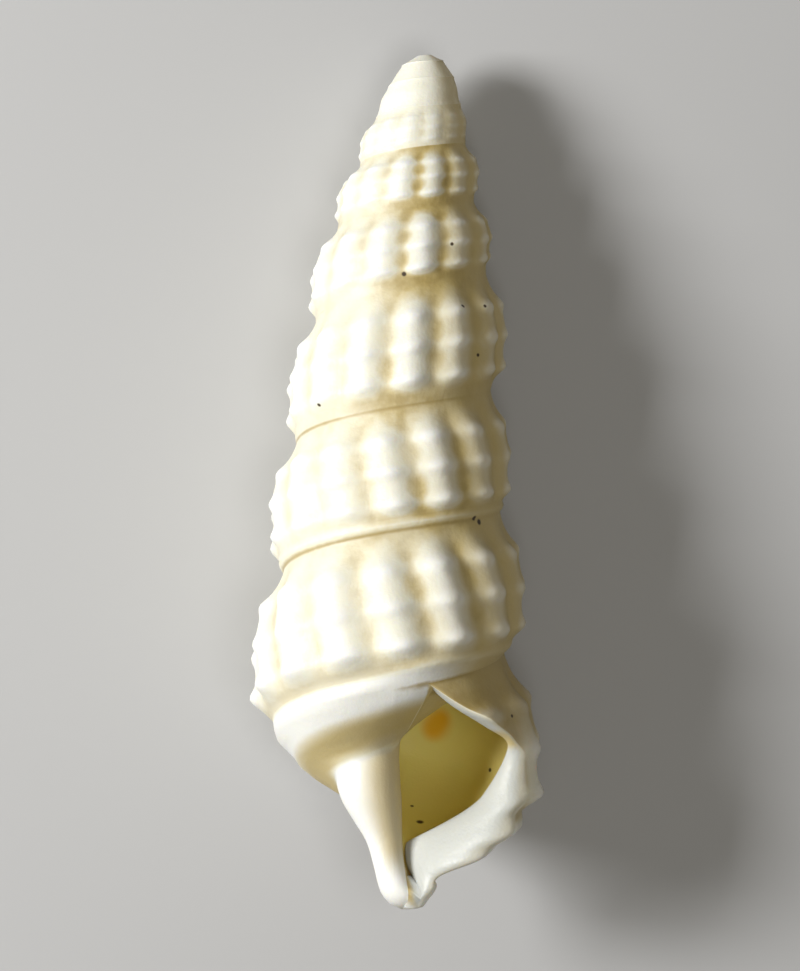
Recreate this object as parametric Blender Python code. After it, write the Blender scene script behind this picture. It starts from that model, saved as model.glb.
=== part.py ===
"""Turreted sea-snail shell, laid on its back with the mouth up and the apex towards +Y.

The shell is one grown piece. Its skin is a single coiled strip: at turn s the strip runs
from the suture above it (t = 0) to the suture below it (t = 1), and the lower edge of one
turn is the upper edge of the next. The last turn goes on over the base to the tip of the
canal, and from the lip the same coordinates lead back inside as the hollow of the whorl.
Sizes are millimetres along and around the shell's own axis until the mesh is placed.
"""
import math

import bmesh
import bpy
from mathutils import Matrix, Vector

MM = 0.001

# Growth, one value for each whole turn from FIRST_TURN on
FIRST_TURN = -2
SUTURE_DROP = (0.0, 0.042, 0.153, 0.342, 0.606, 1.004, 1.499, 2.321, 3.164, 4.126, 5.311)
SUTURE_RADIUS = (0.024, 0.116, 0.206, 0.274, 0.334, 0.429, 0.554, 0.637, 0.732, 0.767, 0.788)
WHORL_RADIUS = (0.042, 0.146, 0.244, 0.335, 0.460, 0.585, 0.732, 0.815, 0.934, 1.025, 1.046)
START_TURN = -1.0
END_TURN = 7.2
SHELL_LENGTH = 5.945
DESCENT = 0.08
DESCENT_START, DESCENT_TURNS = 6.95, 0.25
STRIP_EASE_TURNS = 0.4
ROUND_START, ROUND_TURNS = -1.0, 2.6

# Ribs and cords: heights as shares of the relief, drops as shares of the whorl's height
RELIEF_SHARE = 0.075
RELIEF_START, RELIEF_TURNS = 0.5, 1.5
RIB_TURNS = (-2.0, 0.2, 1.2, 2.2, 3.219, 4.232, 5.188, 6.181, 7.18, 8.18)
RIB_COUNTS = (-66, -39, -26, -13, 0, 13, 26, 40, 54, 68)
RIB_SHARE = 0.62
RIB_FULLNESS = 0.85
RIB_TOP, RIB_TOP_FADE = 0.02, 0.24
RIB_FOOT, RIB_FOOT_FADE = 0.80, 0.14
RIB_SLANT = 0.045
SLANT_START, SLANT_TURNS = 4.0, 1.5
CORD_DROPS = (0.27, 0.53, 0.80)
CORD_WIDTH = 0.055
CORD_SHARE = 0.16
BEAD_SHARE = 0.30
BASAL_CORDS = ((1.06, 0.060, 0.55), (1.19, 0.055, 0.65))
BASAL_RISE, BASAL_SWELL = 0.05, 0.7
PLAIN_LIP_START, PLAIN_LIP_TURNS = 7.02, 0.07
PLAIN_LIP_DROP, PLAIN_LIP_FADE = 0.30, 0.16

# Section of a whorl: out from the suture over the shoulder, level, then tucked in again
SHOULDER = 0.48
TUCK = 0.30

# Base of the last whorl and the twisted pillar below it
UNCOVER_TURNS, UNCOVER_DROP = 0.10, 0.12
BASE_START = 0.80
BASE_DEPTH = 0.65
LIP_BASE_DEPTH = 0.46
SHALLOWER_START, SHALLOWER_TURNS = 6.65, 0.45
BASE_FULLNESS = 1.6
HOLLOW_SHALLOWER = 0.07
PILLAR_DROP = (3.9, 4.46, 4.81, 5.02, 5.19, 5.35, 5.49, 5.65, 5.78, 5.87, 5.945)
PILLAR_RADIUS = (0.112, 0.126, 0.188, 0.216, 0.209, 0.164, 0.122, 0.107, 0.120, 0.140, 0.150)
PILLAR_RIGHT = (0.0, -0.028, -0.153, -0.188, -0.174, -0.132, -0.094, -0.068, -0.030, 0.015, 0.030)
PILLAR_FRONT = (0.0, 0.014, 0.056, 0.070, 0.070, 0.063, 0.056, 0.056, 0.040, 0.020, 0.000)
TIP_ROUND = 0.13
JOIN_DROP, JOIN_FADE = 0.9, 0.15
JOIN_SOFTNESS = 0.05
FULL_PILLAR = 0.1
OFF_CENTRE = 0.92
CANAL_GAP = 0.03
CANAL_WALL = 0.16
WALL_END, WALL_FADE = 0.045, 0.14
CANAL_SOFTNESS = 0.03
LIP_SOFTNESS = 0.12

# Mouth: how far the lip lags behind its upper end, by drop, in turns
LIP_DROPS = (0.0, 0.12, 0.22, 0.34, 0.43, 0.53, 0.68, 0.85, 1.0, 1.15, 1.30, 1.45, 1.60)
LIP_LAGS = (0.0, -0.034, -0.063, -0.097, -0.120, -0.138, -0.147, -0.150, -0.146, -0.134, -0.120,
            -0.120, -0.120)
LIP_LAG_START = 6.55
TIP_DROP = 1.40
RIM_DROPS = (0.0, 0.18, 0.34, 0.45, 0.55, 0.70, 0.87, 1.05, 1.20, 1.45)
RIM_WIDTHS = (0.07, 0.11, 0.11, 0.07, 0.12, 0.23, 0.38, 0.52, 0.55, 0.40)
RIM_ROUND = 0.40
CANAL_END = 5.72

# Hollow behind the mouth
WALL_THICKNESS = 0.095
ROOF_DROP = 0.05
HOLLOW_TURNS = 1.15
HOLLOW_LAG_TURNS = 0.5
THINNING_TURNS = 0.12
SWELL_DROP = 0.2
PILLAR_START = 0.01

# Pose: the axis bows a little, and the shell lies on the worn tips of three beads
BOW = 0.135
REST_TILT = math.radians(6.73)
REST_ROLL = math.radians(7.4)
REST_CUT = 0.02

# Mesh steps
COLUMNS_PER_TURN = 55
STRIP_ROWS = (0.0, 0.13, 0.27, 0.40, 0.53, 0.66, 0.80, 0.91)
BASE_ROWS = 9
RIM_STEPS = 3
HOLLOW_STEPS = (0.02, 0.06, 0.12, 0.20, 0.30, 0.42, 0.55, 0.70, 0.85, 1.0, HOLLOW_TURNS)
PILLAR_SPACING = 0.9
DEPTH_SOFTNESS = 0.03
TINY = 1e-9

SHELL_COLOUR = (0.86, 0.83, 0.70, 1.0)
SHELL_ROUGHNESS = 0.45
SHARP_ANGLE = math.radians(50)


def smooth_step(x):
    """Goes from 0 to 1 as x does, level at both ends."""
    x = min(max(x, 0.0), 1.0)
    return x * x * (3.0 - 2.0 * x)


def fade_in(x, start, length):
    """0 up to start, 1 from start + length on."""
    return smooth_step((x - start) / length)


def curve_through(x, places, values):
    """Cubic curve through the values at the places, with slopes taken from the neighbours."""
    last = len(places) - 1
    k = 0
    while k < last - 1 and x > places[k + 1]:
        k += 1
    gap = places[k + 1] - places[k]
    u = (x - places[k]) / gap

    def slope(j):
        low = max(j - 1, 0)
        high = min(j + 1, last)
        return (values[high] - values[low]) / (places[high] - places[low])

    start = values[k] * (1 + 2 * u) + slope(k) * gap * u
    end = values[k + 1] * (3 - 2 * u) + slope(k + 1) * gap * (u - 1)
    return start * (1 - u) ** 2 + end * u * u


def by_turn(s, values):
    turns = [FIRST_TURN + k for k in range(len(values))]
    return curve_through(s, turns, values)


def suture_drop(s):
    """Distance of the suture from the apex: the growth curve, steeper near the mouth."""
    return by_turn(s, SUTURE_DROP) + DESCENT * fade_in(s, DESCENT_START, DESCENT_TURNS)


def whorl_height(s):
    """Height that the ribs and cords are spaced by, from one turn of the growth curve."""
    return by_turn(s + 1, SUTURE_DROP) - by_turn(s, SUTURE_DROP)


def strip_end(s):
    """Drop of the strip's lower edge: 1, but more where the next turn's suture descends."""
    descended = DESCENT * fade_in(s + 1, DESCENT_START, DESCENT_TURNS)
    eased = 1 - fade_in(s, END_TURN - 1, STRIP_EASE_TURNS)
    return 1 + descended * eased / whorl_height(s)


def relief(s):
    """Height of a bead; the first turns are smooth."""
    return RELIEF_SHARE * whorl_height(s) * fade_in(s, RELIEF_START, RELIEF_TURNS)


def rib_height(s, t):
    """0 in the trough between two ribs, 1 on a crest; later ribs lean with the lip."""
    lean = RIB_SLANT * fade_in(s, SLANT_START, SLANT_TURNS)
    turn = s + lean * (t - 0.5)
    count = curve_through(turn, RIB_TURNS, RIB_COUNTS)
    return (0.5 + 0.5 * math.cos(2 * math.pi * count)) ** RIB_FULLNESS


def bump(t, centre, width):
    return math.exp(-((t - centre) / width) ** 2)


def sculpture(s, t, uncovered):
    """Ribs, the three beaded cords, and the two smooth cords that rim the base."""
    rib = rib_height(s, t)
    reach = fade_in(t, RIB_TOP, RIB_TOP_FADE) * (1 - fade_in(t, RIB_FOOT, RIB_FOOT_FADE))
    near_lip = fade_in(s, PLAIN_LIP_START, PLAIN_LIP_TURNS)
    reach *= 1 - near_lip * (1 - fade_in(t, PLAIN_LIP_DROP, PLAIN_LIP_FADE))
    height = RIB_SHARE * rib * reach
    for centre in CORD_DROPS:
        height += bump(t, centre, CORD_WIDTH) * (CORD_SHARE + BEAD_SHARE * rib)
    swell = uncovered * (1 + BASAL_SWELL * lip_nearness(s))
    risen = t + BASAL_RISE * lip_nearness(s)
    for centre, width, share in BASAL_CORDS:
        height += swell * share * bump(risen, centre, width)
    return relief(s) * height


def uncovered_part(s, t):
    """1 where no later turn hides the whorl's lower part."""
    last_turn = fade_in(s, END_TURN - 1, UNCOVER_TURNS)
    below_suture = fade_in(t, strip_end(s), UNCOVER_DROP)
    return max(last_turn, below_suture)


def lip_nearness(s):
    return fade_in(s, SHALLOWER_START, SHALLOWER_TURNS)


def base_depth(s, less, end_down):
    """Drop from the periphery to where the base has turned in, at most down to end_down."""
    thickest = BASE_DEPTH + (LIP_BASE_DEPTH - BASE_DEPTH) * lip_nearness(s) - less
    room = (end_down - suture_drop(s)) / whorl_height(s) - BASE_START
    return 0.5 * (thickest + room - math.hypot(thickest - room, DEPTH_SOFTNESS))


def plain_radius(s, t, uncovered, depth):
    """Radius without sculpture: out from the suture, level, then back in.

    The first turns lie in one cone and become rounder one by one.
    """
    top = by_turn(s, SUTURE_RADIUS)
    bottom = by_turn(s + 1, SUTURE_RADIUS)
    full = by_turn(s, WHORL_RADIUS) - relief(s)
    side = top + (full - top) * fade_in(t, 0.0, SHOULDER)
    tuck = min(max((strip_end(s) - t) / TUCK, 0.0), 1.0)
    covered = bottom + (side - bottom) * (1 - (1 - tuck) ** 2)
    x = min(max((t - BASE_START) / depth, 0.0), 1.0)
    free = side * (1 - x ** BASE_FULLNESS) ** (1 / BASE_FULLNESS)
    whorl = covered * (1 - uncovered) + free * uncovered
    cone = top + (bottom - top) * t
    return cone + (whorl - cone) * fade_in(s, ROUND_START, ROUND_TURNS)


def pillar_radius(down, angle):
    """Distance from the axis to the pillar's surface, where the pillar is a circle off its centre.

    The circle is round at the tip and always keeps the axis inside.
    """
    down = min(max(down, PILLAR_DROP[0]), SHELL_LENGTH)
    to_tip = min((SHELL_LENGTH - down) / TIP_ROUND, 1.0)
    radius = curve_through(down, PILLAR_DROP, PILLAR_RADIUS) * math.sqrt(1 - (1 - to_tip) ** 2)
    right = curve_through(down, PILLAR_DROP, PILLAR_RIGHT)
    front = curve_through(down, PILLAR_DROP, PILLAR_FRONT)
    kept = min(1.0, OFF_CENTRE * radius / (math.hypot(right, front) + TINY))
    along = kept * (right * math.cos(angle) + front * math.sin(angle))
    across = kept * (front * math.cos(angle) - right * math.sin(angle))
    return along + math.sqrt(max(radius ** 2 - across ** 2, 0.0))


def whorl_point(s, t, inset=0.0, folded=0.0, end_down=SHELL_LENGTH, sculpted=1.0):
    """Point of the whorl at turn s and drop t, as (right, down, front) in millimetres.

    The base turns in until it meets the pillar, and the larger of the two radii is kept,
    with a soft corner between them. Inside the mouth the wall is folded in: it lies inset
    from the outside and clear of the pillar.
    """
    down = suture_drop(s) + whorl_height(s) * t
    angle = 2 * math.pi * s
    uncovered = uncovered_part(s, t)
    depth = base_depth(s, HOLLOW_SHALLOWER * folded, end_down)
    whorl = plain_radius(s, t, uncovered, depth) - inset
    whorl += sculpture(s, t, uncovered) * sculpted
    wall = CANAL_WALL * fade_in(SHELL_LENGTH - down, WALL_END, WALL_FADE) * (1 - folded)
    pillar = pillar_radius(down, angle) + (wall + CANAL_GAP * folded ** 2) * lip_nearness(s)
    below = fade_in(t, JOIN_DROP, JOIN_FADE)
    softness = CANAL_SOFTNESS * folded + LIP_SOFTNESS * lip_nearness(s) * (1 - folded)
    softness = (JOIN_SOFTNESS + softness) * min(pillar / FULL_PILLAR, 1.0)
    joined = max(0.5 * (whorl + pillar + math.hypot(whorl - pillar, softness)), 0.0)
    radius = whorl * (1 - below) + joined * below
    return radius * math.cos(angle), down, radius * math.sin(angle)


def lip_lag(t):
    return curve_through(t, LIP_DROPS, LIP_LAGS)


def leaned(s, t):
    """Turn of a mesh column at drop t: towards the mouth the columns lean with the lip."""
    return s + lip_lag(t) * fade_in(s, LIP_LAG_START, END_TURN - LIP_LAG_START)


def base_drops(s, end_down, first):
    """Drops t below the suture down to end_down, closer together where the base turns in."""
    end = (end_down - suture_drop(s)) / whorl_height(s)
    turn_in = min(BASE_START + BASE_DEPTH, end)
    base_share = (turn_in - first) / (turn_in - first + PILLAR_SPACING * (end - turn_in))
    drops = []
    for k in range(1, BASE_ROWS + 1):
        share = k / BASE_ROWS
        if share < base_share:
            drops.append(first + (turn_in - first) * math.sin(0.5 * math.pi * share / base_share))
        else:
            along = (share - base_share) / max(1 - base_share, TINY)
            drops.append(turn_in + (end - turn_in) * along)
    return drops


def strip_columns(mesh):
    """The coiled strip: columns of vertices from the suture down to the next turn."""
    count = round((END_TURN - START_TURN) * COLUMNS_PER_TURN)
    columns = []
    for i in range(count + 1):
        s = START_TURN + i / COLUMNS_PER_TURN
        column = []
        for row in STRIP_ROWS:
            t = row * strip_end(s)
            column.append(mesh.verts.new(whorl_point(leaned(s, t), t)))
        columns.append(column)
    return columns


def base_columns(mesh, columns):
    """The last turn's columns carried on over the base to one vertex at the tip."""
    first = len(columns) - 1 - COLUMNS_PER_TURN
    tip = mesh.verts.new((0.0, SHELL_LENGTH, 0.0))
    base = []
    for i in range(first, len(columns)):
        s = START_TURN + i / COLUMNS_PER_TURN
        edge = strip_end(s)
        if i == first:
            column = [columns[-1][0]]
        else:
            column = [mesh.verts.new(whorl_point(leaned(s, edge), edge))]
        for t in base_drops(leaned(s, TIP_DROP), SHELL_LENGTH, edge)[:-1]:
            column.append(mesh.verts.new(whorl_point(leaned(s, t), t)))
        column.append(tip)
        base.append(column)
    return base


def add_face(mesh, *corners):
    """Adds the face without its repeated corners, if three are left."""
    kept = []
    for corner in corners:
        if corner not in kept:
            kept.append(corner)
    if len(kept) > 2:
        mesh.faces.new(kept)


def skin_columns(columns, base):
    """Each strip column closed below by the turn under it or by its base column."""
    first = len(columns) - 1 - COLUMNS_PER_TURN
    whole = []
    for i, column in enumerate(columns):
        if i <= first:
            whole.append(column + [columns[i + COLUMNS_PER_TURN][0]])
        else:
            whole.append(column + [base[i - first][0]])
    return whole


def close_apex(mesh, columns):
    """Small cap over the first turn, fanned from the apex."""
    apex = mesh.verts.new((0.0, 0.0, 0.0))
    ring = [columns[i][0] for i in range(COLUMNS_PER_TURN + 1)]
    ring += list(reversed(columns[0][1:]))
    for near, far in zip(ring, ring[1:] + ring[:1]):
        add_face(mesh, far, near, apex)


def bridge(mesh, left, right):
    """Quads between two columns of equal length."""
    for k in range(len(left) - 1):
        add_face(mesh, left[k], right[k], right[k + 1], left[k + 1])


def outer_half(back, turn_over, end_down, roof):
    """Inside of the outer wall from the roof to the floor, back turns behind the lip.

    turn_over goes from 0 at the lip's outer edge to 1 at its inner edge.
    """
    lag_share = 1 - fade_in(back, 0.0, HOLLOW_LAG_TURNS)
    round_out = RIM_ROUND * math.sin(math.pi * turn_over)
    thinning = fade_in(back, 0.0, THINNING_TURNS)
    fold = 0.5 - 0.5 * math.cos(math.pi * turn_over)
    s = END_TURN - back
    end = strip_end(s)
    drops = [roof + (end - roof) * t for t in STRIP_ROWS[1:] + (1.0,)]
    drops += base_drops(s + lip_lag(TIP_DROP) * lag_share, end_down, end)[:-1]
    points = []
    for t in drops:
        rim = curve_through(t, RIM_DROPS, RIM_WIDTHS)
        inset = fold * (rim + (WALL_THICKNESS - rim) * thinning)
        swell = round_out * rim / (2 * math.pi * by_turn(s, WHORL_RADIUS))
        turn = s + lip_lag(t) * lag_share + swell * fade_in(t, 0.0, SWELL_DROP)
        points.append(whorl_point(turn, t, inset, fold, end_down, 1 - fold))
    return points


def inner_half(back, turn_over, end_down, roof):
    """Pillar side from the floor up to the roof, at the turn before."""
    s = END_TURN - 1 - back
    first = strip_end(s) + roof
    drops = base_drops(s, end_down, first)
    drops.reverse()
    drops.append(first)
    return [whorl_point(s, t, sculpted=1 - turn_over) for t in drops]


def hollow_loop(mesh, back, pillar_back, turn_over, end_down, roof):
    inner = inner_half(pillar_back, turn_over, end_down, roof)
    points = [inner.pop()]
    points += outer_half(back, turn_over, end_down, roof)
    points += inner
    return [mesh.verts.new(point) for point in points]


def mouth_and_hollow(mesh, skin, base):
    """Turns the lip over and leads the hollow back from it, closed at its far end."""
    loop = skin[-1] + base[-1][1:] + list(reversed(base[0][1:-1]))
    for step in range(1, RIM_STEPS + 1):
        share = step / RIM_STEPS
        end_down = SHELL_LENGTH + (CANAL_END - SHELL_LENGTH) * share
        inside = hollow_loop(mesh, 0.0, PILLAR_START * share, share, end_down, ROOF_DROP * share)
        bridge_loops(mesh, loop, inside)
        loop = inside
    for back in HOLLOW_STEPS:
        s = END_TURN - back
        floor = suture_drop(s) + (BASE_START + BASE_DEPTH - HOLLOW_SHALLOWER) * whorl_height(s)
        inside = hollow_loop(mesh, back, PILLAR_START + back, 1.0, min(floor, CANAL_END), ROOF_DROP)
        bridge_loops(mesh, loop, inside)
        loop = inside
    middle = Vector()
    for vert in loop:
        middle += vert.co / len(loop)
    end = mesh.verts.new(middle)
    for near, far in zip(loop, loop[1:] + loop[:1]):
        add_face(mesh, far, near, end)


def bridge_loops(mesh, outside, inside):
    for k in range(len(outside)):
        after = (k + 1) % len(outside)
        add_face(mesh, outside[k], inside[k], inside[after], outside[after])


def place_in_world(mesh):
    """Bows the axis, lays the shell on its back and wears flat the beads it rests on."""
    for vert in mesh.verts:
        x, down, z = vert.co
        along = down / SHELL_LENGTH
        vert.co = Vector((x - 4 * BOW * along * (1 - along), -down, z))
    turn = Matrix.Rotation(-REST_TILT, 4, 'X') @ Matrix.Rotation(-REST_ROLL, 4, 'Y')
    bmesh.ops.transform(mesh, matrix=turn, verts=mesh.verts)
    lowest = min(vert.co.z for vert in mesh.verts) + REST_CUT
    geometry = mesh.verts[:] + mesh.edges[:] + mesh.faces[:]
    cut = bmesh.ops.bisect_plane(mesh, geom=geometry, plane_co=(0, 0, lowest),
                                 plane_no=(0, 0, -1), clear_outer=True)
    edges = [item for item in cut["geom_cut"] if isinstance(item, bmesh.types.BMEdge)]
    bmesh.ops.holes_fill(mesh, edges=edges)
    low = Vector(min(vert.co[k] for vert in mesh.verts) for k in range(3))
    high = Vector(max(vert.co[k] for vert in mesh.verts) for k in range(3))
    middle = (low + high) / 2
    for vert in mesh.verts:
        vert.co = (vert.co - Vector((middle.x, middle.y, low.z))) * MM


def shell_material():
    """Chalky cream-white shell."""
    material = bpy.data.materials.new("shell_white")
    material.use_nodes = True
    surface = material.node_tree.nodes["Principled BSDF"]
    surface.inputs["Base Color"].default_value = SHELL_COLOUR
    surface.inputs["Roughness"].default_value = SHELL_ROUGHNESS
    surface.inputs["Metallic"].default_value = 0.0
    return material


def make_shell():
    mesh = bmesh.new()
    columns = strip_columns(mesh)
    base = base_columns(mesh, columns)
    skin = skin_columns(columns, base)
    for left, right in zip(skin, skin[1:]):
        bridge(mesh, left, right)
    for left, right in zip(base, base[1:]):
        bridge(mesh, left, right)
    close_apex(mesh, columns)
    mouth_and_hollow(mesh, skin, base)
    bmesh.ops.triangulate(mesh, faces=mesh.faces[:])
    place_in_world(mesh)
    data = bpy.data.meshes.new("shell")
    mesh.to_mesh(data)
    mesh.free()
    data.shade_smooth()
    data.set_sharp_from_angle(angle=SHARP_ANGLE)
    data.materials.append(shell_material())
    shell = bpy.data.objects.new("shell", data)
    bpy.context.collection.objects.link(shell)
    return shell


def main():
    for thing in list(bpy.data.objects):
        bpy.data.objects.remove(thing)
    make_shell()


main()
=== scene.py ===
"""Turreted sea-snail shell with beaded ribs, lying on its back with the mouth up.

The surface is one coiled strip. A place on it is given by the turn s, counted from the
apex, and by the drop t, from the suture above (t = 0) towards the suture below (t = 1), as
a share of the whorl's height. The last turn goes on over the base to the tip of the canal,
and from the lip the same coordinates lead back inside. Lengths in the shape's own formulas
are millimetres along and around the shell's axis, until the finished points are placed.
"""

import math
from dataclasses import dataclass

import bpy
import numpy as np
from mathutils import Matrix, Vector
from mathutils.bvhtree import BVHTree


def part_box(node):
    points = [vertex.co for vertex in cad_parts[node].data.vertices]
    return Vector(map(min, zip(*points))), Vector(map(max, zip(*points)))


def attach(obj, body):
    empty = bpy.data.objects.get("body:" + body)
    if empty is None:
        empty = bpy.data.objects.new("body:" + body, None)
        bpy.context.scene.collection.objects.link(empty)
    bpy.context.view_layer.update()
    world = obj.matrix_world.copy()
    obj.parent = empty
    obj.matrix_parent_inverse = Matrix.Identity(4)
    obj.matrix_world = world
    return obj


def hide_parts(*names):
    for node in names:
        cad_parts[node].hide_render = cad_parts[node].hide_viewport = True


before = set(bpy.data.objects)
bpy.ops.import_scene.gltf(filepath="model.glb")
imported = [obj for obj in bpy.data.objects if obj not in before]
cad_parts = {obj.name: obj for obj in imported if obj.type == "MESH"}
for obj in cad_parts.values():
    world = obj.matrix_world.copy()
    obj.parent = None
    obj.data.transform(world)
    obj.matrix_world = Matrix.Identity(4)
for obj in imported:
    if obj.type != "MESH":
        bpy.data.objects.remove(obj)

bl_info = {
    "name": "Turreted Shell",
    "version": (1, 0, 0),
    "blender": (4, 5, 0),
    "location": "View3D > Sidebar > Shell",
    "description": "Builds a ribbed and corded snail shell on a plain stage",
    "category": "Add Mesh",
}

MM = 0.001

# Growth, one value for each whole turn from FIRST_TURN on
FIRST_TURN = -2
SUTURE_DROP = (0.0, 0.042, 0.153, 0.342, 0.606, 1.004, 1.499, 2.321, 3.164, 4.126, 5.311)
SUTURE_RADIUS = (0.024, 0.116, 0.206, 0.274, 0.334, 0.429, 0.554, 0.637, 0.732, 0.767, 0.788)
WHORL_RADIUS = (0.042, 0.146, 0.244, 0.335, 0.460, 0.585, 0.732, 0.815, 0.934, 1.025, 1.046)
START_TURN = -2.0
END_TURN = 7.2
SHELL_LENGTH = 5.945
DESCENT = 0.08
DESCENT_START, DESCENT_TURNS = 6.95, 0.25
STRIP_EASE_TURNS = 0.4
ROUND_START, ROUND_TURNS = -1.0, 2.6

# Ribs and cords: heights as shares of the relief, drops as shares of the whorl's height
RELIEF_START, RELIEF_TURNS = 0.5, 1.5
RIB_TURNS = (-2.0, 0.2, 1.2, 2.2, 3.219, 4.232, 5.188, 6.181, 7.18, 8.18)
RIB_COUNTS = (-66, -39, -26, -13, 0, 13, 26, 40, 54, 68)
RIB_FULLNESS = 0.85
RIB_TOP, RIB_TOP_FADE = 0.02, 0.24
RIB_FOOT, RIB_FOOT_FADE = 0.80, 0.14
RIB_SLANT = 0.045
SLANT_START, SLANT_TURNS = 4.0, 1.5
CORDS = ((0.07, 0.18), (0.27, 1.0), (0.53, 1.0), (0.80, 1.0))
CORD_WIDTH = 0.055
CORD_SHARE = 0.16
BASAL_CORDS = ((0.94, 0.035, -0.16), (1.06, 0.060, 0.55), (1.19, 0.055, 0.65),
               (1.33, 0.050, -0.20))
BASAL_RISE, BASAL_SWELL = 0.05, 0.7
SUTURE_THREAD = (0.955, 0.035, 0.30)
THREAD_START, THREAD_TURNS = 4.3, 0.6
PLAIN_LIP_START, PLAIN_LIP_TURNS = 7.02, 0.07
PLAIN_LIP_DROP, PLAIN_LIP_FADE = 0.30, 0.16

# Uneven growth: the spread of the heights, and room for every rib's number in the draw
UNEVENNESS = 0.12
SEED = 5
RIBS_DRAWN, RIBS_BEFORE = 200, 80

# Section of a whorl: out from the suture over the shoulder, level, then tucked in again
SHOULDER = 0.48
TUCK = 0.30

# Base of the last whorl and the twisted pillar below it
UNCOVER_TURNS, UNCOVER_DROP = 0.10, 0.12
BASE_START = 0.80
BASE_DEPTH = 0.65
LIP_BASE_DEPTH = 0.46
SHALLOWER_START, SHALLOWER_TURNS = 6.65, 0.45
BASE_FULLNESS = 1.6
HOLLOW_SHALLOWER = 0.07
PILLAR_DROP = (3.9, 4.46, 4.81, 5.02, 5.19, 5.35, 5.49, 5.65, 5.78, 5.87, 5.945)
PILLAR_RADIUS = (0.112, 0.126, 0.188, 0.216, 0.209, 0.164, 0.122, 0.107, 0.120, 0.140, 0.150)
PILLAR_RIGHT = (0.0, -0.028, -0.153, -0.188, -0.174, -0.132, -0.094, -0.068, -0.030, 0.015,
                0.030)
PILLAR_FRONT = (0.0, 0.014, 0.056, 0.070, 0.070, 0.063, 0.056, 0.056, 0.040, 0.020, 0.000)
TIP_ROUND = 0.13
JOIN_DROP, JOIN_FADE = 0.9, 0.15
JOIN_SOFTNESS = 0.05
FULL_PILLAR = 0.1
OFF_CENTRE = 0.92
CANAL_GAP = 0.03
CANAL_WALL = 0.16
WALL_END, WALL_FADE = 0.045, 0.14
CANAL_SOFTNESS = 0.03
LIP_SOFTNESS = 0.12

# Mouth: how far the lip lags behind its upper end, by drop, in turns
LIP_DROPS = (0.0, 0.12, 0.22, 0.34, 0.43, 0.53, 0.68, 0.85, 1.0, 1.15, 1.30, 1.45, 1.60)
LIP_LAGS = (0.0, -0.034, -0.063, -0.097, -0.120, -0.138, -0.147, -0.150, -0.146, -0.134, -0.120,
            -0.120, -0.120)
LIP_LAG_START = 6.55
TIP_DROP = 1.40
RIM_DROPS = (0.0, 0.18, 0.34, 0.45, 0.55, 0.70, 0.87, 1.05, 1.20, 1.45)
RIM_WIDTHS = (0.07, 0.11, 0.11, 0.07, 0.12, 0.23, 0.38, 0.52, 0.55, 0.40)
RIM_ROUND = 0.40
RIM_TURNS = 0.05
CANAL_END = 5.72

# Hollow behind the mouth
WALL_THICKNESS = 0.095
ROOF_DROP = 0.05
HOLLOW_TURNS = 1.15
HOLLOW_LAG_TURNS = 0.5
THINNING_TURNS = 0.12
SWELL_DROP = 0.2
PILLAR_START = 0.01

# Pose: the axis bows a little, and the shell lies on the worn tips of its lowest beads
BOW = 0.135
REST_TILT = math.radians(6.73)
REST_ROLL = math.radians(7.4)

# Mesh steps
COLUMNS_PER_TURN = 210
STRIP_ROWS = 40
BASE_ROWS = 34
RIM_STEPS = 14
HOLLOW_STEPS = 50
HOLLOW_GROWTH = 1.5
PILLAR_SPACING = 0.9
DEPTH_SOFTNESS = 0.03
TINY = 1e-9

# Measures for the colours: a seam's width, the height that the smooth turns count as, and the
# places that the two closed ends count as
SEAM_WIDTH = 0.024
SEAM_START, SEAM_TURNS = 3.4, 2.2
PLAIN_HEIGHT = 0.6
APEX_TURN, CLOSED_DROP = -2.25, 0.5

# The picture: its size in pixels, and where the shell's two ends lie in it
PICTURE = (800, 971)
APEX_PIXEL = (427, 53)
TIP_PIXEL = (406, 908)
VIEW_TILT = math.radians(5.0)
LENS = 400.0
SENSOR = 36.0
CLIP_START = 0.001

# Marks on the surface: the pixel where the picture shows each, and its radius in millimetres
SPECKS = ((404, 274, 0.016), (452, 244, 0.012), (463, 306, 0.014), (485, 306, 0.012),
          (478, 355, 0.012), (474, 518, 0.018), (479, 522, 0.020), (319, 405, 0.014),
          (412, 806, 0.012), (420, 822, 0.024), (490, 770, 0.014), (512, 716, 0.012))
SPECK_EDGE = 0.4
# Painted deep shade inside the mouth, where the hollow winds up behind the pillar
SHADE_SPOTS = ((437, 724, 0.085), (433, 729, 0.06), (441, 719, 0.05))
SHADE_SPOT_EDGE = 0.9

# Patterns: how fine they are, their octaves of detail, and their shares of the bump, whose
# height is in millimetres
PLACE_MAP = "place"
BLOTCHES_PER_MM, BLOTCH_DETAIL = 1.6, 3.0
GRAINS_PER_MM, GRAIN_DETAIL = 12.0, 4.0
PORES_PER_MM, PORE_DETAIL = 45.0, 3.0
LINES_PER_TURN, LINES_PER_DROP, LINE_DETAIL = 90.0, 2.0, 2.0
LINE_SHARE, GRAIN_SHARE, PORE_SHARE = 0.2, 0.5, 0.3
BUMP_STRENGTH, BUMP_HEIGHT = 0.5, 0.012
DULL_PORES, POLISHED_CREST = 0.25, 0.08

# Light that enters the wall: its share, how far each colour goes, and the scale in millimetres
GLOW = 0.25
GLOW_COLOURS = (1.0, 0.8, 0.45)
GLOW_DEPTH = 0.12

# Where each shade starts and is full. Ranges by height of the sculpture:
CREST_HEIGHTS = (0.40, 0.95)
LOW_HEIGHTS = (0.06, 0.42)
PIT_HEIGHTS = (-0.05, 0.14)
# by drop, with one range for each soft edge:
BAND_TOP, BAND_FOOT = (0.94, 1.02), (1.12, 1.20)
# Painted shade in the crease under the white band of the base
CREASE_TOP, CREASE_FOOT = (1.15, 1.24), (1.30, 1.40)
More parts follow.
